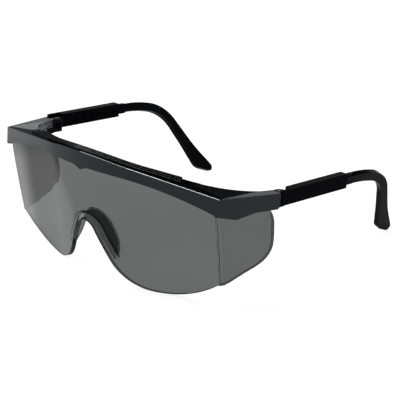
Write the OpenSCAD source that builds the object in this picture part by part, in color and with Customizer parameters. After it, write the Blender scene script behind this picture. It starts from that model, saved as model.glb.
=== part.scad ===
// Safety glasses with a brow frame, a wrap-round lens and length-adjustable temples.
// Built with the temples level, then tipped onto the four points that the glasses rest on:
// the two lower edges of the lens and the two temple tips. Front faces -Y, +X is the wearer's left.

/* [Frame front] */
// Width across the brow at its two front corners
brow_w = 134.6; // [128:0.2:142]
// Radius of the brow's nose arc, seen from above
nose_r = 90; // [70:1:120]
// Angle by which each flank of the brow sweeps back
sweep = 15.9; // [12:0.1:19]
// Radius of the brow's arch over the nose, seen from the front
arch_r = 150; // [110:1:200]
// Angle by which each half of the brow falls towards its corner
arch_fall = 6.6; // [4:0.1:9]
// Thickness of the outer skin of brow and wings
skin_t = 1.5; // [1.2:0.1:2]
// Depth of the brow's top over the nose, front to back
roof_d = 5.6; // [5.2:0.1:6.5]
// Angle by which the rear edge of the brow's top sweeps back on each flank
roof_sweep = 23; // [21:0.5:25]
// Thickness of the brow's top
roof_t = 1.8; // [1.4:0.1:2.4]
// Radius of the inside corner between brow and wing
inner_r = 36; // [20:1:40]

/* [Brow lower edge] */
// Height of the lower edge over the eyes, above the top of the wings
low_z = 0.3; // [-1:0.1:1]
// Distance from the middle at which the lower edge starts to fall
low_x = 12; // [8:1:16]
// Radius of the fall of the lower edge
low_r = 193; // [160:1:230]
// Width of the small point over the nose
beak_w = 8; // [5:0.5:12]
// Depth of the small point over the nose
beak_d = 1.6; // [1:0.1:2.5]

/* [Top ribs] */
// Number of raised ribs along the top
rib_n = 3; // [2:1:3]
// Width of a rib
rib_w = 0.8; // [0.6:0.1:0.9]
// Spacing of the ribs over the nose
rib_pitch = 1.5; // [1.3:0.1:1.6]
// Angle by which each rib spreads from the next one behind it, on each flank
rib_fan = 1.8; // [1:0.1:2]
// Height of a rib
rib_h = 0.8; // [0.4:0.1:1.2]
// Half length of the rearmost rib
rib_half = 44; // [30:0.1:46]
// How much further each rib in front of it runs
rib_step = 1.7; // [0.5:0.1:2]

/* [Wings] */
// Length of a wing, from the corner to its rear end
wing_l = 31; // [29:0.5:33]
// Depth of a wing's lower edge at its rear end, below the top of the corner
wing_h = 8; // [7.8:0.1:9]
// Depth of a wing's lower edge at its deepest point
wing_belly = 9.8; // [9:0.1:11]
// Fall of the wing's top from the corner to its rear end
wing_fall = 1; // [0.6:0.1:1.2]
// Width of the wing's top, side to side
wing_roof = 5.4; // [5.3:0.1:7]

/* [Lens] */
// Thickness of the lens
lens_t = 2.2; // [1.8:0.1:2.4]
// Gap between lens and frame
lens_gap = 0.15; // [0.1:0.05:0.25]
// Outside radius of the lens at its corners
lens_corner_r = 3; // [2.4:0.1:3.2]
// Lean of the lens at the nose, in millimetres per millimetre of drop
lean_nose = 0.092; // [0.04:0.004:0.14]
// Lean of the lens at its corners
lean_corner = 0.226; // [0.18:0.002:0.27]
// Draw-in of the lens at its corners, 40 mm below the brow
draw_in = 2.2; // [1:0.1:2.6]
// How many times more the rear edges of the side shields draw in
shield_tuck = 2.6; // [1:0.1:3.5]
// Distance of each lobe's lowest point from the middle
lobe_x = 32.2; // [30:0.2:34]
// Depth of the lobes below the top of the wings
lobe_z = 52.3; // [49:0.1:54]
// Radius of a lobe on the nose side
lobe_in_r = 22.5; // [20:0.1:24]
// Radius of a lobe on the outer side
lobe_out_r = 51; // [48:0.2:56]
// Depth of the nose notch's top below the top of the wings
notch_z = 24.9; // [23:0.1:26]
// Angle of the notch's sides from upright
notch_a = 29.8; // [27:0.1:33]

/* [Nose saddle] */
// Reach of the nose saddle behind the lens
saddle_d = 7.8; // [5:0.1:9]
// Flare of the nose saddle at its rear edge
saddle_flare = 2.8; // [1.5:0.1:3.5]
// Thickness of the nose saddle
saddle_t = 1.5; // [1.2:0.1:2]
// Width of the thicker rim round the notch
rim_w = 3.6; // [2.5:0.1:4.5]
// Extra thickness of that rim
rim_t = 0.7; // [0.4:0.1:1]

/* [Side shields] */
// Distance of a shield's rear edge behind the frame's corner, under the wing
shield_y = 29.3; // [28:0.1:29.6]
// Depth of a shield's lower edge at its rear
shield_z = 36.2; // [33:0.1:38]
// Depth of a shield's lower edge at the lens corner
shield_corner_z = 40.8; // [39:0.1:42]
// Radius of the shield's lower rear corner
shield_r = 12.4; // [10:0.2:14]

/* [Temples] */
// Width across the outer faces of the two sheaths
temple_w = 150; // [146:0.2:154]
// Length of a sheath from the wing to its rear end
sheath_l = 45; // [43:0.5:50]
// Width of a sheath
sheath_w = 4; // [3.8:0.1:4.6]
// Height of a sheath
sheath_h = 6.7; // [6.4:0.1:7.2]
// Thickness of a sheath's side walls
sheath_wall = 0.8; // [0.7:0.05:1]
// Height of the sheath's bore
bore_h = 5; // [4.6:0.1:5.2]
// Gap on each side of the arm in the bore
slide_gap = 0.12; // [0.1:0.01:0.2]
// Spacing of the length settings
click_pitch = 5.3; // [5:0.1:5.6]
// Number of length settings
click_n = 3; // [2:1:3]
// Diameter of a click hole
click_d = 2; // [1.6:0.1:2.2]
// Distance of the rearmost click hole from the sheath's rear end
click_y = 18.9; // [17:0.1:21]
// Length of the tapered lead-in slot
slot_l = 13.5; // [10:0.5:14]
// Width of the slot at its rear end
slot_w = 1.7; // [1.2:0.1:2]

/* [Temple arms] */
// Length of the arm's straight stretch behind the sheath
arm_out = 4.8; // [3:0.2:6]
// Angle of the first, gentle bend
droop_a = 12.8; // [10:0.2:16]
// Radius of the first, gentle bend
droop_r = 76.4; // [70:0.2:90]
// Angle of the bend over the ear
ear_a = 47.4; // [42:0.2:50]
// Radius of the bend over the ear
ear_r = 24; // [18:0.5:26]
// Length of the straight drop behind the ear
drop_l = 29; // [26:0.2:32]
// Angle by which the drop turns in towards the head
tuck_a = 20.5; // [16:0.5:22]
// Height of the ear piece where it leaves the sheath
ear_h = 4.3; // [3.8:0.1:4.6]
// Thickness of the ear piece
ear_t = 2.9; // [2.4:0.1:3.4]
// Width of the flared foot at the tip
tip_w = 14; // [12:0.1:15.5]

/* [Hinges] */
// Radius of a hinge knuckle
knuckle_r = 2.4; // [2.2:0.05:2.5]
// Height of each of the frame's two knuckles
knuckle_h = 2; // [1.8:0.1:2.2]
// Gap between knuckles
knuckle_gap = 0.12; // [0.08:0.02:0.2]
// Diameter of the hinge pin
pin_d = 1.4; // [1.2:0.1:1.6]
// Running clearance of the pin in the temple's knuckle, on the radius
pin_gap = 0.04; // [0.02:0.01:0.08]
// Diameter of the pin's head
pin_head_d = 2.8; // [2.4:0.1:3.2]
// Thickness of the pin's head
pin_head_t = 0.6; // [0.4:0.1:0.8]

/* [Hidden] */
$fn = 64;
half_w = brow_w / 2;
wing_inset = 0.54;                                 // the wing's rear end lies this far inside the sheath
splay = atan((temple_w / 2 - wing_inset - half_w) / wing_l);
brow_rise = crest(half_w, nose_r, sweep);          // how far the nose stands in front of the corners
arch_rise = crest(half_w, arch_r, arch_fall);      // how high the nose stands above the corners
low_corner = low_z - low_r + sqrt(pow(low_r, 2) - pow(half_w - low_x, 2));
lens_off = skin_t + lens_gap;                      // front of the lens behind the brow's face
lip_off = lens_off + lens_t + lens_gap;            // front of the inner lip
lip_t = 1.3;
lip_h = 3.2;
lip_r = 8;                                         // radius of the lip at the corner
fall_y = 0.8;                                      // the wing tops start to fall this far behind
roof_tighter = 10;                                 // the top's rear edge curves this much tighter
lean_soft = 0.05;                                  // how gently the lean starts to grow from the middle
draw_depth = 40;                                   // depth below the brow at which the draw-in is measured
sheath_x = temple_w / 2;
sheath_back = wing_l + sheath_l;
wing_gap = 0.2;                                    // between wing end and sheath
axis_x = sheath_x - sheath_w;
axis_y = wing_l + wing_gap + knuckle_r + 0.9;
box_y = axis_y + knuckle_r + 0.9;                  // front of the sheath's closed box
cover_t = 1.3;                                     // sheath's outer skin beside the hinge
knuckle_z = wing_fall + 0.3;                       // top of the upper knuckle
knuckle_low = wing_h - 0.3;                        // bottom of the lower knuckle
mid_z = knuckle_z + knuckle_h + knuckle_gap;       // top of the temple's knuckle
mid_h = knuckle_low - knuckle_z - 2 * knuckle_h - 2 * knuckle_gap;
bore_w = sheath_w - 2 * sheath_wall;
bore_z = (sheath_h - bore_h) / 2;
blade_w = bore_w - 2 * slide_gap;
blade_h = bore_h - 2 * slide_gap;
travel = click_pitch * (click_n - 1);
blade_front = box_y + 2.5;
arm_x = sheath_x - sheath_w / 2;
arm_z = -sheath_h / 2;
bump_h = sheath_wall * 0.5;
tip_gap = 0.4;                                     // the ear piece starts this far behind the sheath

// ---------- outlines ----------

// Height of an arc of radius r with straight flanks at angle a, measured down from its crown
function crest(u, r, a) =
    abs(u) < r * sin(a) ? r - sqrt(r * r - u * u) : r * (1 - cos(a)) + (abs(u) - r * sin(a)) * tan(a);

// Area on the hollow side of a crest whose flanks pass through (half_w, 0), moved inwards by off
module crest_area(r, a, off, rise, far) {
    intersection() {
        translate([-far, -rise - r]) square([2 * far, rise + r + far]);
        union() {
            translate([0, r - rise]) circle(r = r - off, $fn = 180);
            polygon([
                for (s = [1, -1], k = s > 0 ? [0, 1, 2] : [2, 1, 0])
                let (tx = (r - off) * sin(a), ty = r - rise - (r - off) * cos(a))
                k == 0 ? [s * tx, ty]
                : k == 1 ? [s * (tx + far * cos(a)), ty + far * sin(a)]
                : [s * (tx + far * cos(a)), far + 400]
            ]);
        }
    }
}

// Area between the two wings, moved inwards by off
module wing_area(off) {
    x0 = half_w - off / cos(splay);
    front = 60;
    back = 90;
    polygon([
        [-x0 + front * tan(splay), -front], [x0 - front * tan(splay), -front],
        [x0 + back * tan(splay), back], [-x0 - back * tan(splay), back]
    ]);
}

// Plan of everything inside the brow and wings, moved inwards by off, with corner radius r
module plan_area(off, r = 0, wing_off = -1) {
    w_off = wing_off < 0 ? off : wing_off;
    difference() {
        intersection() {
            crest_area(nose_r, sweep, off, brow_rise, 90);
            wing_area(w_off);
        }
        if (r > 0) {
            for (s = [1, -1]) {
                mirror([s > 0 ? 0 : 1, 0]) corner_cut(off, w_off, r);
            }
        }
    }
}

// Corner point of the plan, inside by off at the brow and by w_off at the wing
function corner_pt(off, w_off) =
    let (
        m = tan(sweep), n = tan(splay),
        y0 = off / cos(sweep), x0 = half_w - w_off / cos(splay),
        y = (y0 + m * (x0 - half_w)) / (1 - m * n)
    ) [x0 + n * y, y];

// Piece outside a fillet of radius r in that corner
module corner_cut(off, w_off, r) {
    p = corner_pt(off, w_off);
    d1 = [-cos(sweep), -sin(sweep)];
    d2 = [sin(splay), cos(splay)];
    t = r / tan((90 + sweep + splay) / 2);
    c = p + d1 * t + [-sin(sweep), cos(sweep)] * r;
    difference() {
        polygon([p - (d1 + d2) * 0.01, p + d1 * t, c, p + d2 * t]);
        translate(c) circle(r = r, $fn = 90);
    }
}

// Front view of what lies under the top edge, lowered by off; beyond the corners it is level
module under_top(off) {
    intersection() {
        mirror([0, 1]) crest_area(arch_r, arch_fall, off, arch_rise, 90);
        translate([-half_w, -60]) square([2 * half_w, 90]);
    }
    for (x = [-half_w - 20, half_w - 0.01]) {
        translate([x, -60]) square([20.01, 60 - off]);
    }
}

// Front view of what is cut away below the brow
module below_brow() {
    difference() {
        union() {
            translate([-low_x, -60]) square([2 * low_x, 60 + low_z]);
            for (s = [1, -1]) {
                intersection() {
                    translate([s * low_x, low_z - low_r]) circle(r = low_r, $fn = 180);
                    translate([s > 0 ? low_x : -low_x - 80, -60]) square([80, 70]);
                }
            }
        }
        polygon([[-beak_w / 2, low_z + 1], [-beak_w / 2, low_z], [0, low_z - beak_d],
                 [beak_w / 2, low_z], [beak_w / 2, low_z + 1]]);
    }
}

// Front view of the brow's band
module brow_band() {
    difference() {
        intersection() {
            under_top(0);
            translate([-90, -40]) square([180, 60]);
        }
        below_brow();
    }
}

// Side view of a wing
module wing_side() {
    polygon([
        [-4, 0], [fall_y, 0], [wing_l, -wing_fall], [wing_l, -wing_h + 0.9], [wing_l - 1.1, -wing_h],
        [wing_l * 0.6, -wing_h], [wing_l * 0.32, -wing_belly], [wing_l * 0.27, -wing_belly],
        [0, low_corner], [-4, low_corner]
    ]);
}

// Stand a drawing in X and Y up into X and Z, from y0 to y1
module front_slab(y0, y1) {
    translate([0, y1, 0]) rotate([90, 0, 0]) linear_extrude(height = y1 - y0) children();
}

// Stand a drawing in Y and Z up across X, from x0 to x1
module side_slab(x0, x1) {
    translate([x0, 0, 0]) rotate([90, 0, 90]) linear_extrude(height = x1 - x0) children();
}

module both_sides() {
    children();
    mirror([1, 0, 0]) children();
}

// ---------- brow frame ----------

module brow_skin() {
    intersection() {
        translate([0, 0, -20]) linear_extrude(height = 40) difference() {
            plan_area(0);
            plan_area(skin_t);
            translate([-90, corner_pt(skin_t, skin_t)[1] + 0.1]) square([180, 90]);
        }
        front_slab(-30, 10) brow_band();
    }
}

module wing_skin() {
    intersection() {
        translate([0, 0, -20]) linear_extrude(height = 20) difference() {
            plan_area(0);
            wing_area(skin_t);
            translate([-90, wing_l]) square([180, 90]);
        }
        side_slab(0, 90) wing_side();
    }
}

// Plan of the opening behind the top, which widens over the nose
module roof_opening() {
    difference() {
        intersection() {
            crest_area(nose_r - roof_tighter, roof_sweep, roof_d, brow_rise, 90);
            wing_area(wing_roof);
        }
        for (s = [1, -1]) {
            mirror([s > 0 ? 0 : 1, 0]) roof_web();
        }
    }
}

// Web that fills the inside corner between the top of the brow and the top of a wing
module roof_web() {
    m = tan(roof_sweep);
    n = tan(splay);
    tangent_x = (nose_r - roof_tighter - roof_d) * sin(roof_sweep);
    y0 = crest(half_w, nose_r - roof_tighter - roof_d, roof_sweep) + roof_d - brow_rise;
    x0 = half_w - wing_roof / cos(splay);
    y = (y0 + m * (x0 - half_w)) / (1 - m * n);
    p = [x0 + n * y, y];
    d1 = [-cos(roof_sweep), -sin(roof_sweep)];
    d2 = [sin(splay), cos(splay)];
    t = min(inner_r / tan((90 + roof_sweep + splay) / 2), (p[0] - tangent_x) / cos(roof_sweep));
    r = t * tan((90 + roof_sweep + splay) / 2);
    c = p + d1 * t + [-sin(roof_sweep), cos(roof_sweep)] * r;
    difference() {
        polygon([p - (d1 + d2) * 0.01, p + d1 * t, c, p + d2 * t]);
        translate(c) circle(r = r, $fn = 180);
    }
}

// Top of the brow, which follows the arch, and the falling tops of the wings
module roof() {
    difference() {
        intersection() {
            translate([0, 0, -20]) linear_extrude(height = 40) difference() {
                plan_area(0);
                roof_opening();
                translate([-90, wing_l]) square([180, 90]);
            }
            front_slab(-30, wing_l + 1) difference() {
                under_top(0);
                under_top(roof_t);
            }
        }
        both_sides() fall_cut();
    }
}

// What the fall of the wings' tops takes away, beside the corner and on the web inside it
module fall_cut() {
    slope = wing_fall / (wing_l - fall_y);
    web_x = 16;
    web_y = fall_y + 0.4;
    far = [60, (fall_y - 60) * slope];
    side_slab(half_w - 0.15, half_w + 30) polygon([[fall_y, 0], far, [60, 5], [fall_y, 5]]);
    translate([half_w, 0, 0]) rotate([0, arch_fall, 0])
        side_slab(-web_x, 0) polygon([[web_y, 0.02], far, [60, 5], [web_y, 5]]);
}

// Inner lip that holds the back of the lens
module lip() {
    intersection() {
        translate([0, 0, -20]) linear_extrude(height = 40) difference() {
            plan_area(lip_off);
            plan_area(lip_off + lip_t, lip_r - lip_t);
            translate([-90, wing_l]) square([180, 90]);
        }
        front_slab(-30, wing_l + 1) difference() {
            under_top(roof_t * 0.8);
            under_top(roof_t + lip_h);
        }
    }
}

// Plan of a rib that follows the top's rear edge, the i-th from behind
module rib_area(i, off) {
    crest_area(nose_r - roof_tighter + i * roof_tighter / rib_n, roof_sweep - i * rib_fan, off,
               brow_rise, 90);
}

module ribs() {
    for (i = [0 : rib_n - 1]) {
        off = roof_d - rib_w - 0.1 - i * rib_pitch;
        end = rib_half + i * rib_step;
        intersection() {
            translate([0, 0, -20]) linear_extrude(height = 40) difference() {
                rib_area(i, off);
                rib_area(i, off + rib_w);
            }
            front_slab(-30, 20) intersection() {
                difference() {
                    under_top(-rib_h);
                    under_top(roof_t / 2);
                }
                translate([-end, -20]) square([2 * end, 60]);
            }
        }
    }
}

// Rear end of a wing with its two hinge knuckles
module wing_end() {
    block_l = 3;
    inner_x = axis_x - knuckle_r;
    difference() {
        union() {
            intersection() {
                translate([inner_x, wing_l - block_l, -wing_h]) cube([20, block_l, wing_h]);
                linear_extrude(height = 40, center = true) wing_area(0);
                side_slab(0, 90) wing_side();
            }
            for (z = [knuckle_z, knuckle_low - knuckle_h]) {
                translate([axis_x, axis_y, -z - knuckle_h]) cylinder(r = knuckle_r, h = knuckle_h);
                translate([inner_x, wing_l - 1, -z - knuckle_h])
                    cube([2 * knuckle_r, axis_y - wing_l + 1, knuckle_h]);
            }
        }
        translate([axis_x, axis_y, -wing_h]) cylinder(d = pin_d, h = wing_h);
        translate([axis_x, axis_y, -knuckle_z - pin_head_t]) cylinder(d = pin_head_d, h = 2);
    }
}

module brow_frame() {
    color([0.16, 0.18, 0.18]) stand() union() {
        brow_skin();
        both_sides() wing_skin();
        roof();
        lip();
        ribs();
        both_sides() wing_end();
    }
}

// ---------- lens ----------

// Height of the brow's lower edge at x
function low_edge(x) =
    abs(x) < low_x ? low_z : low_z - low_r + sqrt(low_r * low_r - pow(abs(x) - low_x, 2));

// How far the lens leans back per millimetre of drop; it grows quickly beside the nose
function lean(x) =
    let (u = pow(min(abs(x) / half_w, 1), 2))
    lean_nose + (lean_corner - lean_nose) * u * (1 + lean_soft) / (u + lean_soft);

// A point of the lens: its plan point under the brow, leaned back and drawn in by its drop below ref
function hang(p, z, ref) =
    let (
        d = max((ref < low_corner ? low_corner : ref) - z, 0),
        rear = min(max((p[1] - 3) / 20, 0), 1)
    ) [p[0] * (1 - draw_in / half_w * pow(d / draw_depth, 2) * (1 + shield_tuck * rear)),
       p[1] + lean(p[0]) * d, z];

// Front face of the lens in plan
function face_y(x) = crest(x, nose_r - lens_off, sweep) - brow_rise + lens_off;

// One upright strip of the lens: plan points of its two faces, top, start of the lean, lower edge
function front_strip(o) =
    let (
        phi = asin(min(o[0] / (nose_r - lens_off), sin(sweep))),
        q = [o[0], face_y(o[0])]
    ) [q, q + lens_t * [-sin(phi), cos(phi)],
       arch_rise - crest(o[0], arch_r, arch_fall) - (roof_t + lens_gap) / cos(arch_fall),
       low_edge(o[0]), o[1]];

lens_p = corner_pt(lens_off, lens_off);
fillet_t = lens_corner_r / tan((90 + sweep + splay) / 2);
fillet_c = lens_p - fillet_t * [cos(sweep), sin(sweep)] + lens_corner_r * [-sin(sweep), cos(sweep)];

function fillet_strip(a, z) =
    let (d = [cos(a), sin(a)])
    [fillet_c + lens_corner_r * d, fillet_c + (lens_corner_r - lens_t) * d,
     -roof_t - lens_gap, low_corner, z];

function side_strip(o) =
    let (
        y = o[0],
        q = lens_p + [sin(splay), cos(splay)] * (y - lens_p[1]) / cos(splay),
        bare = wing_l - 4.5,
        top = y < bare ? -roof_t - lens_gap : -wing_h - 0.4 - pow((y - bare) / 1.6, 3)
    ) [q, q + lens_t * [-cos(splay), sin(splay)], top, min(low_corner, top - 0.5), o[1]];

// Outline of the right half, from the middle of the notch round the lobe to the shield's rear edge
side_n = [cos(notch_a), sin(notch_a)];
lobe_in_c = [lobe_x, -lobe_z + lobe_in_r];
lobe_out_c = [lobe_x, -lobe_z + lobe_out_r];
lobe_in_t = lobe_in_c - side_n * lobe_in_r;
side_dist = side_n * lobe_in_t;
notch_r = (side_dist + side_n[1] * notch_z) / (1 - side_n[1]);
notch_c = [0, -notch_z - notch_r];
notch_t = notch_c + side_n * notch_r;
lobe_end = asin((lens_p[0] - fillet_t * cos(sweep) - lobe_x) / lobe_out_r);
shield_c = [shield_y - shield_r, -shield_z + shield_r];
shield_a = 20;
lens_rows = 3;                                     // bands of the lens between the brow and its lower edge
shield_p = shield_c + shield_r * [sin(shield_a), -cos(shield_a)];
corner_y = lens_p[1] + 2;
corner_drop = lobe_out_c[1] - lobe_out_r * cos(lobe_end);

function strips() = concat(
    [for (i = [0 : 6]) front_strip(notch_c + notch_r * [sin((90 - notch_a) * i / 6),
                                                        cos((90 - notch_a) * i / 6)])],
    [for (i = [1 : 6]) front_strip(notch_t + (lobe_in_t - notch_t) * i / 6)],
    [for (i = [1 : 12]) let (a = (90 - notch_a) * (1 - i / 12))
        front_strip(lobe_in_c - lobe_in_r * [sin(a), cos(a)])],
    [for (i = [1 : 14]) front_strip(lobe_out_c + lobe_out_r * [sin(lobe_end * i / 14),
                                                               -cos(lobe_end * i / 14)])],
    [for (i = [1 : 5]) fillet_strip(-90 + sweep + (90 - sweep - splay) * i / 5,
                                    corner_drop + (-shield_corner_z + 0.3 - corner_drop) * i / 5)],
    [for (i = [1 : 6]) side_strip([corner_y, -shield_corner_z] * (1 - i / 6) + shield_p * i / 6)],
    [for (i = [1 : 7]) let (a = shield_a + (90 - shield_a) * i / 7)
        side_strip(shield_c + shield_r * [sin(a), -cos(a)])]
);

// Ring of a strip: down its rear face and up its front face
function strip_ring(c) =
    let (
        step = (c[3] - c[4]) / lens_rows,
        rows = concat([c[2]], [for (i = [0 : lens_rows]) c[3] - i * step]),
        n = len(rows) - 1
    ) concat(
        [for (i = [0 : n]) hang(c[1], rows[i], c[3])],
        [for (i = [n : -1 : 0]) hang(c[0], rows[i], c[3])]
    );

// Both halves of a list of rings that starts at the middle plane
function mirrored(h) =
    concat([for (i = [len(h) - 1 : -1 : 1]) [for (q = h[i]) [-q[0], q[1], q[2]]]], h);

// Closed skin over a list of rings with the same number of points
module loft(rings) {
    m = len(rings[0]);
    n = len(rings);
    polyhedron(points = [for (g = rings, q = g) q], faces = concat(
        [for (i = [0 : n - 2], j = [0 : m - 1]) [i * m + j, i * m + (j + 1) % m, (i + 1) * m + j]],
        [for (i = [0 : n - 2], j = [0 : m - 1])
            [i * m + (j + 1) % m, (i + 1) * m + (j + 1) % m, (i + 1) * m + j]],
        [for (j = [1 : m - 2]) [0, j + 1, j]],
        [for (j = [1 : m - 2]) [(n - 1) * m, (n - 1) * m + j, (n - 1) * m + j + 1]]
    ));
}

// Saddle that carries the glasses on the nose, with the thicker rim that it grows from
function saddle_ring(p, n, k) =
    let (
        back = lens_t + rim_t,
        deep = back + 0.1 + (saddle_d - back - 0.1) * k,
        flare = saddle_flare * deep / saddle_d
    )
    [for (c = [[-0.08, 0.7], [rim_w, 1.2], [rim_w, back - 0.3],
               [saddle_flare * back / saddle_d + saddle_t, back], [flare + 0.8 * saddle_t, deep],
               [flare, deep]])
        let (q = p + n * c[0]) hang([q[0], face_y(q[0]) + c[1]], q[1], low_edge(q[0]))];

function saddle_rings() = concat(
    [for (i = [0 : 8]) let (a = (90 - notch_a) * i / 8, n = [sin(a), cos(a)])
        saddle_ring(notch_c + notch_r * n, n, 1)],
    [for (i = [1 : 8]) saddle_ring(notch_t + (lobe_in_t - notch_t) * i / 8, side_n, 1 - pow(i / 8, 3))]
);

module lens() {
    color([0.45, 0.46, 0.47, 0.6]) stand() union() {
        loft(mirrored([for (c = strips()) strip_ring(c)]));
        loft(mirrored(saddle_rings()));
    }
}

// ---------- temples ----------

module sheath() {
    difference() {
        union() {
            translate([sheath_x - sheath_w, box_y, -sheath_h])
                cube([sheath_w, sheath_back - box_y, sheath_h]);
            translate([sheath_x - cover_t, wing_l + wing_gap, -sheath_h])
                cube([cover_t, box_y - wing_l, sheath_h]);
            translate([axis_x, axis_y, -mid_z - mid_h]) cylinder(r = knuckle_r, h = mid_h);
            translate([axis_x, axis_y, -mid_z - mid_h]) cube([knuckle_r, box_y - axis_y + 1, mid_h]);
        }
        translate([axis_x, axis_y, -wing_h]) cylinder(r = pin_d / 2 + pin_gap, h = wing_h);
        translate([sheath_x - sheath_w + sheath_wall, box_y + 1.5, -sheath_h + bore_z])
            cube([bore_w, sheath_back, bore_h]);
        sheath_groove();
        for (i = [0 : click_n - 1]) {
            translate([sheath_x - sheath_w - 1, sheath_back - click_y - i * click_pitch, arm_z])
                rotate([0, 90, 0]) cylinder(d = click_d, h = 1 + bore_w);
        }
        sheath_slot();
    }
}

// Shallow groove in the bore for the arm's bump
module sheath_groove() {
    groove_h = click_d + 0.2;
    y0 = sheath_back - click_y - travel - click_d / 2 - 0.2;
    translate([sheath_x - sheath_w + sheath_wall - bump_h, y0, arm_z - groove_h / 2])
        cube([bump_h + 0.5, sheath_back - y0 + 1, groove_h]);
}

// Tapered lead-in slot through the inner wall, behind the click holes
module sheath_slot() {
    y1 = sheath_back - 2.6;
    translate([sheath_x - sheath_w - 1, 0, arm_z]) rotate([90, 0, 90])
        linear_extrude(height = 1 + bore_w)
        polygon([[y1 - slot_l, -0.3], [y1, -slot_w / 2], [y1, slot_w / 2], [y1 - slot_l, 0.3]]);
}

// Side view of the ear piece from the sheath's end to the tip, with the sheath's end at y = 0
function droop_end() = [arm_out + droop_r * sin(droop_a), -droop_r * (1 - cos(droop_a))];
function ear_end() =
    droop_end() + ear_r * [sin(droop_a + ear_a) - sin(droop_a), cos(droop_a + ear_a) - cos(droop_a)];
drop_dir = [cos(droop_a + ear_a), -sin(droop_a + ear_a)];
drop_back = [sin(droop_a + ear_a), cos(droop_a + ear_a)];

module arc_band(r, w, a0, a1) {
    intersection() {
        difference() {
            circle(r = r + w / 2, $fn = 180);
            circle(r = r - w / 2, $fn = 180);
        }
        polygon([[0, 0], 2 * r * [sin(a0), cos(a0)], 2 * r * [sin((a0 + a1) / 2), cos((a0 + a1) / 2)],
                 2 * r * [sin(a1), cos(a1)]]);
    }
}

foot_r = 1.9;                                      // rounding of the foot's rear corner
toe_r = 3;                                         // rounding of its front corner
toe = 0.7;                                         // the foot's middle lies this far behind the drop
foot_dir = [cos(15), -sin(15)];
function foot_mid() = ear_end() + drop_dir * drop_l + drop_back * toe;
function foot_rear() = foot_mid() + foot_dir * (tip_w / 2 - foot_r);
function foot_front() = foot_mid() - foot_dir * (tip_w / 2 - toe_r);

// A round spot on the drop, at a share of its length
module drop_spot(share, d) {
    translate(ear_end() + drop_dir * drop_l * share + drop_back * toe * share) circle(d = d, $fn = 32);
}

module ear_outline() {
    d = droop_end();
    w = ear_h;
    shin_d = w + 2;
    ankle_d = w + 3.6;
    union() {
        translate([-1, -w / 2]) square([arm_out + 1, w]);
        translate([arm_out, -droop_r]) arc_band(droop_r, w, -0.2, droop_a + 0.2);
        translate(d - ear_r * [sin(droop_a), cos(droop_a)])
            arc_band(ear_r, w, droop_a - 1, droop_a + ear_a + 0.5);
        hull() {
            drop_spot(0, w);
            drop_spot(0.5, shin_d);
        }
        hull() {
            drop_spot(0.5, shin_d);
            drop_spot(0.76, ankle_d);
        }
        hull() {
            drop_spot(0.76, ankle_d);
            translate(foot_front()) circle(r = toe_r, $fn = 32);
            translate(foot_rear()) circle(r = foot_r, $fn = 32);
        }
    }
}

module arm() {
    translate([arm_x - blade_w / 2, blade_front, arm_z - blade_h / 2])
        cube([blade_w, sheath_back - blade_front + arm_out + 0.6, blade_h]);
    translate([arm_x - blade_w / 2 - bump_h + 0.05, sheath_back - click_y - travel, arm_z])
        rotate([0, 90, 0]) cylinder(d = click_d - 0.4, h = 1);
    translate([arm_x, sheath_back + tip_gap, arm_z]) rotate([0, tuck_a, 0])
        side_slab(-ear_t / 2, ear_t / 2) ear_trim() ear_outline();
}

// Keeps the tucked ear piece clear of the sheath
module ear_trim() {
    intersection() {
        children();
        translate([0, -80]) square([120, 100]);
    }
}

module left_temple_sheath() {
    color([0.07, 0.07, 0.08]) stand() sheath();
}

module right_temple_sheath() {
    color([0.07, 0.07, 0.08]) stand() mirror([1, 0, 0]) sheath();
}

module left_temple_arm() {
    color([0.04, 0.04, 0.05]) stand() arm();
}

module right_temple_arm() {
    color([0.04, 0.04, 0.05]) stand() mirror([1, 0, 0]) arm();
}

// ---------- hinge pins ----------

module pin() {
    translate([axis_x, axis_y, -knuckle_low]) cylinder(d = pin_d, h = knuckle_low - knuckle_z);
    translate([axis_x, axis_y, -knuckle_z - pin_head_t])
        cylinder(d = pin_head_d - 0.1, h = pin_head_t + 0.15);
}

module left_hinge_pin() {
    color([0.12, 0.12, 0.13]) stand() pin();
}

module right_hinge_pin() {
    color([0.12, 0.12, 0.13]) stand() mirror([1, 0, 0]) pin();
}

// ---------- standing ----------

// Lowest points of a lens lobe and of a temple tip, in the level drawing, as distance back and height
lobe_low = let (g = strip_ring(front_strip([lobe_x, -lobe_z]))[lens_rows + 1]) [g[1], g[2]];
tip_low = [foot_rear()[0] + sheath_back + tip_gap,
           arm_z + (foot_rear()[1] - foot_r) * cos(tuck_a) - ear_t / 2 * sin(tuck_a)];
stand_a = atan((tip_low[1] - lobe_low[1]) / (tip_low[0] - lobe_low[0]));
stand_z = max([
    for (c = strips())
        let (q = strip_ring(c)[lens_rows + 1])
        q[1] * sin(stand_a) - q[2] * cos(stand_a)
]);
front_most = -brow_rise * cos(stand_a) + (low_z - beak_d) * sin(stand_a);
rear_most = tip_low[0] * cos(stand_a) + tip_low[1] * sin(stand_a) + foot_r;
stand_y = -(front_most + rear_most) / 2;

// Tip the level drawing onto its four resting points
module stand() {
    translate([0, stand_y, stand_z]) rotate([-stand_a, 0, 0]) children();
}

brow_frame();
lens();
left_temple_sheath();
right_temple_sheath();
left_temple_arm();
right_temple_arm();
left_hinge_pin();
right_hinge_pin();
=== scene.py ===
import math
import bmesh
import bpy
from mathutils import Matrix, Vector
from mathutils.bvhtree import BVHTree


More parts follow.
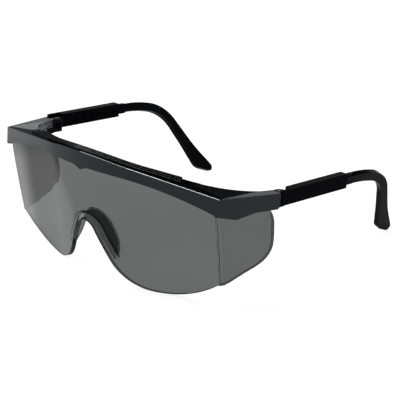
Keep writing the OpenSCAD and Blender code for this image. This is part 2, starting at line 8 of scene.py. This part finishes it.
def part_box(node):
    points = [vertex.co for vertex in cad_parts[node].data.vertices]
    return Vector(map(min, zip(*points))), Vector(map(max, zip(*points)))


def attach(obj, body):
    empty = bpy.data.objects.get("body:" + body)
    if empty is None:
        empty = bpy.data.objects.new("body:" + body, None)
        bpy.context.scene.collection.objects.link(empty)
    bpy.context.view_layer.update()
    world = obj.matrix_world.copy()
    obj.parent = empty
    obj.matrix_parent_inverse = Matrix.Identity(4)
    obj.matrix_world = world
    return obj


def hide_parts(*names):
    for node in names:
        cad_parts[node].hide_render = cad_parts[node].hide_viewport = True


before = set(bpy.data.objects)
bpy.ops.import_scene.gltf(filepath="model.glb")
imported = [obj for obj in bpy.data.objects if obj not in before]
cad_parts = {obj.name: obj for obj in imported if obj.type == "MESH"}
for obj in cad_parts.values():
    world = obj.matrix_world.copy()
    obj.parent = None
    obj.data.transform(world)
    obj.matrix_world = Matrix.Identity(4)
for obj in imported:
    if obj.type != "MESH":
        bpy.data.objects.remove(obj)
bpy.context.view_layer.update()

# ---------------------------------------------------------------- camera
# A long lens, a little above the glasses and off their left front corner.
# The glasses stand on the two lens lobes and the two temple tips.
azimuth, elevation, roll = math.radians(42.912), math.radians(20.864), math.radians(0.966)
picture_px, focal_px, sensor_mm = 400, 1427.57, 36
distance, aside, above = 0.683922, 0.002086, 0.017403


def placed(name, data):
    """An object with this data, linked to the scene."""
    thing = bpy.data.objects.new(name, data)
    bpy.context.scene.collection.objects.link(thing)
    return thing


back = Vector((math.sin(azimuth) * math.cos(elevation),
               -math.cos(azimuth) * math.cos(elevation), math.sin(elevation)))
level = Vector((math.cos(azimuth), math.sin(azimuth), 0))
upright = back.cross(level)
right = level * math.cos(roll) + upright * math.sin(roll)
top = upright * math.cos(roll) - level * math.sin(roll)
place = back * distance + right * aside + top * above
eye = bpy.data.cameras.new("eye")
eye.sensor_width = sensor_mm
eye.lens = focal_px * sensor_mm / picture_px
eye.clip_start, eye.clip_end = 0.01, 20
camera = placed("eye", eye)
camera.matrix_world = Matrix((
    (right.x, top.x, back.x, place.x),
    (right.y, top.y, back.y, place.y),
    (right.z, top.z, back.z, place.z),
    (0, 0, 0, 1)))
bpy.context.scene.camera = camera
bpy.context.scene.view_settings.view_transform = "Standard"

# ---------------------------------------------------------------- floor and light
# A sheet of white paper in a studio of soft lamps. What looks straight at it, or through the lens,
# sees white, and the glasses still leave a faint shadow. Mirrored rays see a dimmer room, whose
# light and dark fields, partly painted light and painted shadow on the paper, are set for the gloss
# on the brow's face and the lens's right end.


def nodes_of(tree):
    """Node adder: nodes_of(tree)("Type", {socket: value or link}, attributes)."""
    def add(kind, inputs=None, **attributes):
        node = tree.nodes.new(kind)
        for name, value in attributes.items():
            setattr(node, name, value)
        for name, value in (inputs or {}).items():
            if isinstance(value, bpy.types.NodeSocket):
                tree.links.new(value, node.inputs[name])
            else:
                node.inputs[name].default_value = value
        return node
    return add


def ramp(add, value, span, levels, shape="SMOOTHSTEP"):
    """Goes from the first level to the second while the value crosses the span."""
    return add("ShaderNodeMapRange", {
        "Value": value, "From Min": span[0], "From Max": span[1],
        "To Min": levels[0], "To Max": levels[1]}, interpolation_type=shape).outputs[0]


def sums(add, operation, *values, clamp=False):
    """One step of arithmetic on values or links."""
    return add("ShaderNodeMath", dict(enumerate(values)), operation=operation,
               use_clamp=clamp).outputs[0]


def either(add, choice, when_0, when_1):
    """The first value where the choice is 0, the second where it is 1."""
    return add("ShaderNodeMix", {"Factor": choice, 2: when_0, 3: when_1},
               data_type="FLOAT").outputs[0]


# The room by the height of a ray's direction: a bright ceiling, a dark wall and a low pale band.
ceiling_rise, ceiling_glow = (0.6, 0.85), (0.008, 1.0)
band_rise, band_glow = (0.06, 0.15), (0.17, 0.55)
band_end, band_fade = (0.18, 0.27), (1.0, 0.0)
plain_white = 1.0

world = bpy.data.worlds.new("studio")
bpy.context.scene.world = world
world.use_nodes = True
world.node_tree.nodes.clear()
add = nodes_of(world.node_tree)
outward = add("ShaderNodeTexCoord").outputs["Generated"]
height = add("ShaderNodeSeparateXYZ", {"Vector": outward}).outputs["Z"]
ceiling = ramp(add, height, ceiling_rise, ceiling_glow)
band = sums(add, "MULTIPLY", ramp(add, height, band_rise, band_glow),
            ramp(add, height, band_end, band_fade))
ray = add("ShaderNodeLightPath").outputs
straight = sums(add, "MAXIMUM", ray["Is Camera Ray"], ray["Is Transmission Ray"])
room = either(add, straight, sums(add, "ADD", ceiling, band), plain_white)
soft = add("ShaderNodeBackground", {"Color": (0.97, 0.98, 1, 1), "Strength": room})
add("ShaderNodeOutputWorld", {"Surface": soft.outputs[0]})


def blank_material(name):
    """A material with an empty node tree, and that tree's node adder."""
    material = bpy.data.materials.new(name)
    material.use_nodes = True
    material.node_tree.nodes.clear()
    return material, nodes_of(material.node_tree)


# The paper as mirrored rays see it, in metres: a painted pool of light beyond a bent line on the
# right, a painted shadow round a spot under the lens's right half, and near that spot painted light
# again behind the front edge.
paper_white = 0.86
corner_slope, corner_shift = -1.5, 0.05
corner_span, corner_glow = (-0.115, -0.06), (0.8, 0.4)
dim_spot = (-0.05, -0.05, 0.0)
dim_span, dim_glow = (0.1, 0.16), (0.25, 1.0)
relit_span, relit_glow = (-0.095, -0.078), (0.0, 1.3)
relit_reach, relit_fade = (0.09, 0.13), (1.0, 0.0)

paper, add = blank_material("white_paper")
where = add("ShaderNodeTexCoord").outputs["Object"]
axis = add("ShaderNodeSeparateXYZ", {"Vector": where}).outputs
corner = sums(add, "MAXIMUM",
              sums(add, "MULTIPLY_ADD", axis["Y"], corner_slope, axis["X"]),
              sums(add, "ADD", axis["X"], corner_shift))
away = add("ShaderNodeVectorMath", {0: where, 1: dim_spot},
           operation="DISTANCE").outputs["Value"]
nearby = sums(add, "MULTIPLY_ADD", ramp(add, axis["Y"], relit_span, relit_glow),
              ramp(add, away, relit_reach, relit_fade), ramp(add, away, dim_span, dim_glow))
# Painted light and painted shadow on the paper, for mirrored rays only.
painted_light_fields = sums(add, "MULTIPLY", ramp(add, corner, corner_span, corner_glow, "LINEAR"), nearby)
ray = add("ShaderNodeLightPath").outputs
mirrored = sums(add, "SUBTRACT", ray["Is Glossy Ray"], ray["Is Transmission Ray"], clamp=True)
seen = sums(add, "MAXIMUM", sums(add, "MAXIMUM", ray["Is Camera Ray"], ray["Is Glossy Ray"]),
            ray["Is Transmission Ray"])
fibre = add("ShaderNodeTexNoise", {"Vector": where, "Scale": 900.0, "Detail": 3.0})
tooth = add("ShaderNodeBump", {"Height": fibre.outputs["Fac"], "Strength": 0.03,
                               "Distance": 0.0002})
matt = add("ShaderNodeBsdfDiffuse", {"Color": (0.8, 0.8, 0.8, 1), "Normal": tooth.outputs[0]})
glow = add("ShaderNodeEmission", {"Color": (1, 1, 1, 1),
                                  "Strength": either(add, mirrored, paper_white, painted_light_fields)})
shade = add("ShaderNodeBsdfDiffuse", {"Color": (0.16, 0.16, 0.16, 1),
                                      "Normal": tooth.outputs[0]})
lit = add("ShaderNodeAddShader", {0: glow.outputs[0], 1: shade.outputs[0]})
sheet = add("ShaderNodeMixShader", {0: seen, 1: matt.outputs[0], 2: lit.outputs[0]})
add("ShaderNodeOutputMaterial", {"Surface": sheet.outputs[0]})


def stored(mesh, name):
    """Mesh data from a bmesh, which is freed."""
    data = bpy.data.meshes.new(name)
    mesh.to_mesh(data)
    mesh.free()
    return data


floor_half = 4
floor_mesh = bmesh.new()
bmesh.ops.create_grid(floor_mesh, x_segments=8, y_segments=8, size=floor_half)
floor = placed("floor", stored(floor_mesh, "floor"))
floor.data.materials.append(paper)

for name, spot, aim, size, power in (
        ("overhead", (-0.1, 0.25, 1.3), (0, 0, 0.03), (1.1, 0.8), 9),
        ("left_fill", (-1.2, -0.8, 0.7), (0, 0, 0.03), (0.8, 0.8), 5),
        ("behind", (0.5, 1.2, 0.6), (0, 0, 0.04), (0.9, 0.4), 4),
        ("key", (-0.76, -0.43, 0.82), (0, 0, 0.03), (0.7, 0.7), 14)):
    lamp = bpy.data.lights.new(name, "AREA")
    lamp.shape = "RECTANGLE"
    lamp.size, lamp.size_y = size
    lamp.energy = power
    holder = placed(name, lamp)
    holder.location = spot
    holder.rotation_euler = (Vector(aim) - Vector(spot)).to_track_quat("-Z", "Y").to_euler()

# ---------------------------------------------------------------- brow frame
# One injection moulding in glossy black nylon: brow, roof, corner gussets, inner lip and wings.
# The roof and the fronts of its ribs get a darker copy of the nylon with almost no gloss, painted
# shade that keeps them black; the hinge knuckles get a duller, rougher copy.


def give_sockets(group, in_out, kind, names):
    """Adds sockets of one kind to a group; names is a list, or maps each name to its default."""
    for name in names:
        socket = group.interface.new_socket(name, in_out=in_out, socket_type="NodeSocket" + kind)
        if isinstance(names, dict):
            socket.default_value = names[name]


def tinted(add, share, dark, light):
    """A colour between dark and light."""
    return add("ShaderNodeMix", {"Factor": share, 6: dark, 7: light},
               data_type="RGBA").outputs[2]


def moulded_skin():
    """Node group for a mould's skin: faint ripple from the mould and fine grain."""
    group = bpy.data.node_groups.new("moulded_skin", "ShaderNodeTree")
    give_sockets(group, "INPUT", "Float", {"Ripple Size": 90.0, "Grain Size": 1400.0,
                                           "Smooth": 0.12, "Rough": 0.3})
    give_sockets(group, "INPUT", "Color", {"Dark": (0.01, 0.01, 0.01, 1),
                                           "Light": (0.03, 0.03, 0.03, 1)})
    give_sockets(group, "OUTPUT", "Color", ["Color"])
    give_sockets(group, "OUTPUT", "Float", ["Roughness", "Height"])
    add = nodes_of(group)
    given = add("NodeGroupInput").outputs
    where = add("ShaderNodeTexCoord").outputs["Object"]
    ripple = add("ShaderNodeTexNoise", {"Vector": where, "Scale": given["Ripple Size"],
                                        "Detail": 2.0, "Roughness": 0.4}).outputs["Fac"]
    grain = add("ShaderNodeTexNoise", {"Vector": where, "Scale": given["Grain Size"],
                                       "Detail": 4.0, "Roughness": 0.6}).outputs["Fac"]
    grain_span, grain_share = (0.3, 0.7), 0.35
    add("NodeGroupOutput", {
        "Color": tinted(add, ripple, given["Dark"], given["Light"]),
        "Roughness": ramp(add, grain, grain_span, (given["Smooth"], given["Rough"]), "LINEAR"),
        "Height": sums(add, "ADD", ripple, sums(add, "MULTIPLY", grain, grain_share))})
    return group


mould_group = moulded_skin()


def plastic(name, dark, light, rough, gloss, sheen=(0.76, 0.92, 1.0)):
    """Solid-coloured moulded plastic, its roughness somewhere between the two values of rough."""
    material, add = blank_material(name)
    skin = add("ShaderNodeGroup", {"Dark": (*dark, 1), "Light": (*light, 1), "Smooth": rough[0],
                                   "Rough": rough[1]}, node_tree=mould_group).outputs
    dents = add("ShaderNodeBump", {"Height": skin["Height"], "Strength": 0.12,
                                   "Distance": 0.0001})
    body = add("ShaderNodeBsdfPrincipled", {
        "Base Color": skin["Color"], "Roughness": skin["Roughness"], "Normal": dents.outputs[0],
        "Specular IOR Level": gloss, "IOR": 1.5, "Specular Tint": (*sheen, 1)})
    add("ShaderNodeOutputMaterial", {"Surface": body.outputs[0]})
    return material


weld_gap = 2e-6
flat_degrees = 0.05


def joined_mesh(node):
    """A CAD node's loose triangles as one joined bmesh."""
    mesh = bmesh.new()
    mesh.from_mesh(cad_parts[node].data)
    bmesh.ops.remove_doubles(mesh, verts=mesh.verts, dist=weld_gap)
    return mesh


def made_plain(raw, name):
    """An object with the plain mesh that raw's modifiers make; raw itself goes."""
    grown = raw.evaluated_get(bpy.context.evaluated_depsgraph_get())
    shape = bpy.data.meshes.new_from_object(grown)
    bpy.data.objects.remove(raw)
    shape.name = name
    return placed(name, shape)


def finished_copy(node, name, radius=0, steps=2, crease=32, smooth=40, flatten=True,
                  change=None):
    """A copy of a solid, for a finished piece. Edges of more than crease degrees are rounded by
    radius, as the mould leaves them, and faces under smooth degrees are shaded as one."""
    mesh = joined_mesh(node)
    if flatten:
        bmesh.ops.dissolve_limit(mesh, angle_limit=math.radians(flat_degrees), verts=mesh.verts,
                                 edges=mesh.edges)
    if change:
        change(mesh)
    raw = placed(name + "_rough", stored(mesh, name + "_rough"))
    raw.data.shade_smooth()
    raw.data.set_sharp_from_angle(angle=math.radians(smooth))
    if radius:
        rounding = raw.modifiers.new("rounding", "BEVEL")
        rounding.limit_method = "ANGLE"
        rounding.angle_limit = math.radians(crease)
        rounding.width = radius
        rounding.segments = steps
        rounding.use_clamp_overlap = True
        rounding.miter_outer = "MITER_ARC"
    even = raw.modifiers.new("even", "WEIGHTED_NORMAL")
    even.mode = "FACE_AREA"
    even.weight = 60
    even.keep_sharp = True
    piece = made_plain(raw, name)
    piece.data.materials.clear()
    return piece


def walls_of(piece):
    """Ray-cast tree of a piece's faces."""
    return BVHTree.FromPolygons([v.co for v in piece.data.vertices],
                                [list(f.vertices) for f in piece.data.polygons])


black_nylon = plastic("black_nylon_gloss", dark=(0.0012, 0.0016, 0.0018),
                      light=(0.0022, 0.0028, 0.003), rough=(0.09, 0.18), gloss=0.5)
knuckle_nylon = plastic("black_nylon_knuckles", dark=(0.0012, 0.0012, 0.0016),
                        light=(0.0024, 0.0024, 0.003), rough=(0.2, 0.34), gloss=0.05)
# Painted shade: a darker, almost glossless copy of the same nylon, for the roof and the rib fronts.
roof_painted_shade = plastic("black_nylon_roof_painted_shade", dark=(0.0008, 0.0009, 0.001),
                     light=(0.0014, 0.0016, 0.0018), rough=(0.06, 0.14), gloss=0.015)

# How deep the knuckles lie from the rear, how deep the ribs lie from the top, how far behind the
# front face a rib stands at least, and where the look at that face starts: ahead and just below.
knuckle_depth, rib_depth, rib_step = 0.0078, 0.004, 0.0006
clear_ahead, just_below = 0.01, 0.002
# How squarely a rib's front faces ahead and the roof faces up, and how little the roof looks back.
rib_ahead, roof_up, roof_back = 0.7, 0.9, 0.09
rearward = Vector((0, 1, 0))

brow = finished_copy("brow_frame", "brow", smooth=24)
for finish in (black_nylon, knuckle_nylon, roof_painted_shade):
    brow.data.materials.append(finish)
knuckles, roof = 1, 2
brow_low, brow_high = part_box("brow_frame")
brow_walls = walls_of(brow)


def set_back(spot):
    """How far a spot near the brow's top lies behind its front face."""
    start = Vector((spot.x, brow_low[1] - clear_ahead, spot.z - just_below))
    face = brow_walls.ray_cast(start, rearward)[0]
    return spot.y - face.y if face else 0


# Faces that look up, and the fronts of the ribs, take the painted shade.
for face in brow.data.polygons:
    middle, facing = face.center, face.normal
    rib_front = (facing.y < -rib_ahead and middle.z > brow_high[2] - rib_depth
                 and set_back(middle) > rib_step)
    roof_top = facing.z > roof_up and facing.y < roof_back
    if middle.y > brow_high[1] - knuckle_depth:
        face.material_index = knuckles
    elif rib_front or roof_top:
        face.material_index = roof
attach(brow, "front")
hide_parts("brow_frame")

# ---------------------------------------------------------------- brow edge beads
# The fine round edges that the mould leaves on the brow's front top edge and on its three ribs.
# Their light colour is a painted highlight, brightest towards the left corner, so they show as thin
# bright lines.


def edge_bead():
    """Geometry Nodes group: a round bead along every chain of edges in the mesh it is given."""
    group = bpy.data.node_groups.new("edge_bead", "GeometryNodeTree")
    give_sockets(group, "INPUT", "Geometry", ["Geometry"])
    give_sockets(group, "INPUT", "Float", {"Radius": 0.0001, "Spacing": 0.0005})
    give_sockets(group, "INPUT", "Material", ["Material"])
    give_sockets(group, "OUTPUT", "Geometry", ["Geometry"])
    add = nodes_of(group)
    given = add("NodeGroupInput").outputs
    chain = add("GeometryNodeMeshToCurve", {"Mesh": given["Geometry"]})
    even = add("GeometryNodeResampleCurve", {"Curve": chain.outputs[0],
                                             "Length": given["Spacing"]}, mode="LENGTH")
    ring = add("GeometryNodeCurvePrimitiveCircle", {"Resolution": 10,
                                                    "Radius": given["Radius"]})
    tube = add("GeometryNodeCurveToMesh", {"Curve": even.outputs[0],
                                           "Profile Curve": ring.outputs[0],
                                           "Fill Caps": True})
    solid = add("GeometryNodeRealizeInstances", {"Geometry": tube.outputs[0]})
    painted = add("GeometryNodeSetMaterial", {"Geometry": solid.outputs[0],
                                              "Material": given["Material"]})
    add("NodeGroupOutput", {"Geometry": painted.outputs[0]})
    return group


bead_group = edge_bead()


def bead(name, source, chosen, radius, sink, material):
    """Bead along the edges that chosen() picks in a mesh, its middle moved by sink into the wall.
    chosen() is given an edge's middle, its direction and the normals of its two faces."""
    mesh = bmesh.new()
    mesh.from_mesh(source)
    mesh.verts.ensure_lookup_table()
    wanted = [edge for edge in mesh.edges if len(edge.link_faces) == 2
              and chosen((edge.verts[0].co + edge.verts[1].co) / 2,
                         (edge.verts[0].co - edge.verts[1].co).normalized(),
                         *[face.normal for face in edge.link_faces])]
    corners = sorted({v.index for edge in wanted for v in edge.verts})
    places = [mesh.verts[i].co + Vector(sink) for i in corners]
    order = {index: spot for spot, index in enumerate(corners)}
    links = [[order[v.index] for v in edge.verts] for edge in wanted]
    mesh.free()
    path = bpy.data.meshes.new(name + "_path")
    path.from_pydata(places, links, [])
    raw = placed(name + "_path", path)
    grown = raw.modifiers.new("bead", "NODES")
    grown.node_group = bead_group
    keys = {item.name: item.identifier for item in bead_group.interface.items_tree
            if item.in_out == "INPUT"}
    grown[keys["Radius"]] = radius
    grown[keys["Material"]] = material
    piece = made_plain(raw, name)
    piece.data.shade_smooth()
    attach(piece, "front")


# How squarely an edge's two faces look up and ahead, and how straight a rib's edge runs across.
edge_square, edge_across = 0.8, 0.7


def front_edge(start, end, on_rib):
    """Edge test for bead(): edges where a top meets a front, between two places across the brow,
    either on the brow's own face or on a rib's, where only edges that run across count."""
    def chosen(middle, line, one, other):
        on_top = max(one.z, other.z) > edge_square and min(one.y, other.y) < -edge_square
        if not (on_top and start < middle.x <= end):
            return False
        if on_rib:
            return abs(line.x) > edge_across and set_back(middle) > rib_step
        return set_back(middle) < rib_step
    return chosen


# Painted highlights: light colours on the beads stand in for the shine of the round edges.
front_highlight = plastic("painted_highlight_front_edge", dark=(0.7, 0.72, 0.72), light=(0.85, 0.87, 0.87),
                   rough=(0.05, 0.1), gloss=0.6)
middle_highlight = plastic("painted_highlight_middle_edge", dark=(0.3, 0.31, 0.31), light=(0.42, 0.44, 0.44),
               rough=(0.05, 0.12), gloss=0.5)
rib_highlight = plastic("painted_highlight_rib_edge", dark=(0.12, 0.125, 0.125),
                     light=(0.18, 0.185, 0.185), rough=(0.06, 0.12), gloss=0.4)

for name, chosen, radius, sink, finish in (
        ("brow_front_bead", front_edge(0.03, 0.067, on_rib=False),
         0.00011, (0, 0.00008, -0.00008), front_highlight),
        ("brow_middle_bead", front_edge(0, 0.03, on_rib=False),
         0.00009, (0, 0.00006, -0.00006), middle_highlight),
        ("brow_rib_beads", front_edge(-0.006, 0.044, on_rib=True),
         0.00007, (0, 0.00004, -0.00007), rib_highlight)):
    bead(name, brow.data, chosen, radius, sink, finish)

# ---------------------------------------------------------------- lens
# One moulded sheet of grey polycarbonate: front, side shields, nose saddle. A strong glossy coat on
# its right end alone is a painted reflection.
# It is trapped in the slot between the brow's skin and the inner lip.


def flow_lines():
    """Node group for clear moulded sheet: the tint and haze that the melt's flow leaves, and the
    weight of a strong glossy coat, full at the lens's right end and nil elsewhere, a painted
    reflection there."""
    group = bpy.data.node_groups.new("flow_lines", "ShaderNodeTree")
    give_sockets(group, "INPUT", "Float", {"Smooth": 0.0, "Rough": 0.035})
    give_sockets(group, "INPUT", "Color", {"Dark": (0.12, 0.1225, 0.123, 1),
                                           "Light": (0.135, 0.1375, 0.138, 1)})
    give_sockets(group, "OUTPUT", "Color", ["Color"])
    give_sockets(group, "OUTPUT", "Float", ["Roughness", "Height", "Coat"])
    add = nodes_of(group)
    given = add("NodeGroupInput").outputs
    where = add("ShaderNodeTexCoord").outputs["Object"]
    flow = add("ShaderNodeTexNoise", {"Vector": where, "Scale": 38.0, "Detail": 2.0,
                                      "Roughness": 0.35}).outputs["Fac"]
    across = add("ShaderNodeSeparateXYZ", {"Vector": where}).outputs["X"]
    haze_span, reflection_paint_span, reflection_paint_weight = (0.35, 0.75), (-0.066, -0.046), (1.0, 0.0)
    add("NodeGroupOutput", {
        "Color": tinted(add, flow, given["Dark"], given["Light"]),
        "Roughness": ramp(add, flow, haze_span, (given["Smooth"], given["Rough"]), "LINEAR"),
        "Height": flow,
        "Coat": ramp(add, across, reflection_paint_span, reflection_paint_weight)})
    return group


flow_group = flow_lines()


def polycarbonate(name, dark, light, rough, ior, coated=True):
    """Clear grey moulded plastic; dark and light bound its tint, rough its haze."""
    material, add = blank_material(name)
    melt = add("ShaderNodeGroup", {"Dark": (*dark, 1), "Light": (*light, 1), "Smooth": rough[0],
                                   "Rough": rough[1]}, node_tree=flow_group).outputs
    ripple = add("ShaderNodeBump", {"Height": melt["Height"], "Strength": 0.05,
                                    "Distance": 0.0002})
    # Painted reflection: a coat of high IOR that only the lens's right end carries.
    painted_reflection = {"Coat Weight": melt["Coat"], "Coat IOR": 2.4, "Coat Roughness": 0.03}
    clear = add("ShaderNodeBsdfPrincipled", {
        "Base Color": melt["Color"], "Roughness": melt["Roughness"], "Normal": ripple.outputs[0],
        "Transmission Weight": 1.0, "IOR": ior, **(painted_reflection if coated else {})})
    add("ShaderNodeOutputMaterial", {"Surface": clear.outputs[0]})
    return material


# In order: front, rim, saddle, side shields, and bridge, the saddle's walls that face the nose.
lens_finishes = (
    polycarbonate("grey_polycarbonate", dark=(0.12, 0.1225, 0.123),
                  light=(0.135, 0.1375, 0.138), rough=(0, 0.035), ior=1.22),
    polycarbonate("grey_polycarbonate_rim", dark=(0.03, 0.031, 0.032),
                  light=(0.045, 0.046, 0.047), rough=(0.1, 0.2), ior=1.05),
    polycarbonate("grey_polycarbonate_saddle", dark=(0.34, 0.345, 0.345),
                  light=(0.4, 0.405, 0.405), rough=(0.05, 0.12), ior=1.05, coated=False),
    polycarbonate("grey_polycarbonate_side", dark=(0.1, 0.102, 0.102),
                  light=(0.115, 0.117, 0.117), rough=(0, 0.03), ior=1.2),
    polycarbonate("grey_polycarbonate_bridge", dark=(0.015, 0.0155, 0.0155),
                  light=(0.02, 0.0205, 0.0205), rough=(0.1, 0.2), ior=1.05, coated=False))
rim, saddle, side_shield, bridge = 1, 2, 3, 4

# The sheet's thickness, how far the saddle and the front reach from the middle, and a step into
# the sheet for the look through it. What is thicker than the sheet is rim or saddle.
lens_thick, saddle_half, front_half = 0.0022, 0.027, 0.06
step_in = 0.00002
saddle_behind, rim_through = lens_thick * 1.25, lens_thick * 1.35
# A wall hardly faces ahead, a side shield faces aside, and an edge is sharp over this many radians.
wall_ahead, side_aside, sharp = 0.6, 0.9, 1.0
runs_back = 0.7

shield = finished_copy("lens", "clear_shield", smooth=32, flatten=False)
for finish in lens_finishes:
    shield.data.materials.append(finish)
lens_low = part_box("lens")[0]
lens_walls = walls_of(shield)
for face in shield.data.polygons:
    middle, facing = face.center, face.normal
    start = Vector((middle.x, lens_low[1] - clear_ahead, middle.z))
    first = lens_walls.ray_cast(start, rearward)[0]
    through = lens_walls.ray_cast(middle - facing * step_in, -facing)[3] or 0
    behind = middle.y - first.y if first else 0
    wall = abs(facing.y) < wall_ahead
    to_nose = Vector((-middle.x, 0, -middle.z)).dot(facing) > 0
    if abs(middle.x) < saddle_half and (behind > saddle_behind or wall):
        face.material_index = bridge if to_nose and wall else saddle
    elif abs(middle.x) > front_half and abs(facing.x) > side_aside:
        face.material_index = side_shield
    elif abs(middle.x) > saddle_half and through > rim_through:
        face.material_index = rim
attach(shield, "front")
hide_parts("lens")

# The sheet's edge looks dark end-on, so a fine dark line runs along it.
sheet_edge = plastic("grey_polycarbonate_edge", dark=(0.003, 0.003, 0.003),
                     light=(0.008, 0.008, 0.008), rough=(0.1, 0.25), gloss=0.2)


def sheet_rim(middle, line, one, other):
    """Edge test for bead(): the sheet's sharp edges, without the saddle's front-to-back ones."""
    return one.angle(other) > sharp and (abs(middle.x) > saddle_half or abs(line.y) < runs_back)


bead("lens_edge_line", stored(joined_mesh("lens"), "sheet"), sheet_rim, 0.0001, (0, 0, 0.00012),
     sheet_edge)

# ---------------------------------------------------------------- temple sheaths
# Flat black nylon tubes, smooth outside, with a bore for the arm, click holes and a lead-in slot.
# Each turns on a hinge pin that holds its knuckle between the frame's.
sheath_nylon = plastic("black_nylon_sheath", dark=(0.001, 0.0008, 0.0016),
                       light=(0.002, 0.0016, 0.003), rough=(0.12, 0.24), gloss=0.014,
                       sheen=(0.9, 0.9, 1.0))
for side in ("left", "right"):
    sheath = finished_copy(side + "_temple_sheath", side + "_sheath", radius=0.0002, steps=3)
    sheath.data.materials.append(sheath_nylon)
    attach(sheath, side + "_temple")
    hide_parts(side + "_temple_sheath")

# ---------------------------------------------------------------- temple arms
# Softly rounded black nylon arms: a flat blade that slides in the sheath, then the ear piece,
# whose drop bends down behind the ear and ends in a foot.
arm_nylon = plastic("black_nylon_arm", dark=(0.001, 0.001, 0.0012),
                    light=(0.002, 0.002, 0.0025), rough=(0.14, 0.26), gloss=0.03,
                    sheen=(0.86, 0.92, 1.0))

# The left drop's upper and lower end, the way its rear edge faces, and its length.
drop_top = Vector((0.068316, 0.053993, 0.028182))
drop_foot = Vector((0.059625, 0.067237, 0.003881))
drop_rear = Vector((0.174, 0.9, 0.3995))
drop_length, drop_slices = 0.0305, 24
# What the drop loses in width and thickness, and the shares of its length between which it does.
waist_loss, waist_full, waist_end = 0.1, 0.35, 0.5
front_loss, front_start = 0.55, 0.6
thickness_loss = 0.12


def eased(value):
    """Smooth step from 0 to 1."""
    value = min(max(value, 0), 1)
    return value * value * (3 - 2 * value)


def shaped_drop(side):
    """Mesh changer: slims the ear piece's drop at the waist, and its foot at the front."""
    mirror = Vector((side, 1, 1))
    top, foot, rear = drop_top * mirror, drop_foot * mirror, drop_rear * mirror
    along = (foot - top).normalized()
    rear = (rear - along * rear.dot(along)).normalized()
    across = along.cross(rear)

    def change(mesh):
        for i in range(drop_slices):
            everything = list(mesh.verts) + list(mesh.edges) + list(mesh.faces)
            bmesh.ops.bisect_plane(mesh, geom=everything, dist=1e-7, plane_no=along,
                                   plane_co=top + along * drop_length * i / drop_slices)
        for vert in mesh.verts:
            down = (vert.co - top).dot(along)
            if down <= 0:
                continue
            share = down / drop_length
            wide, thick = (vert.co - top).dot(rear), (vert.co - top).dot(across)
            loss = (waist_loss * eased(share / waist_full)
                    * (1 - eased((share - waist_end) / (1 - waist_end))))
            if wide < 0:
                loss += front_loss * eased((share - front_start) / (1 - front_start))
            vert.co -= rear * wide * loss + across * thick * thickness_loss * eased(share)
    return change


for side, sign in (("left", 1), ("right", -1)):
    arm = finished_copy(side + "_temple_arm", side + "_arm", radius=0.0008, steps=4, crease=35,
                        smooth=35, change=shaped_drop(sign))
    arm.data.materials.append(arm_nylon)
    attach(arm, side + "_arm")
    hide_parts(side + "_temple_arm")

# ---------------------------------------------------------------- hinge pins
# Small blackened steel pins with a flat head, turned on a lathe.
# They are pressed into the frame's outer knuckles.
steel, add = blank_material("pin_steel")
where = add("ShaderNodeTexCoord").outputs["Object"]
turned = add("ShaderNodeTexNoise", {"Vector": where, "Scale": 2600.0,
                                    "Detail": 3.0}).outputs["Fac"]
metal = add("ShaderNodeBsdfPrincipled", {
    "Base Color": tinted(add, turned, (0.1, 0.1, 0.11, 1), (0.16, 0.16, 0.17, 1)),
    "Roughness": ramp(add, turned, (0, 1), (0.15, 0.38), "LINEAR"), "Metallic": 1.0})
add("ShaderNodeOutputMaterial", {"Surface": metal.outputs[0]})
for side in ("left", "right"):
    pin = finished_copy(side + "_hinge_pin", side + "_pin", radius=0.0001)
    pin.data.materials.append(steel)
    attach(pin, "front")
    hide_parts(side + "_hinge_pin")
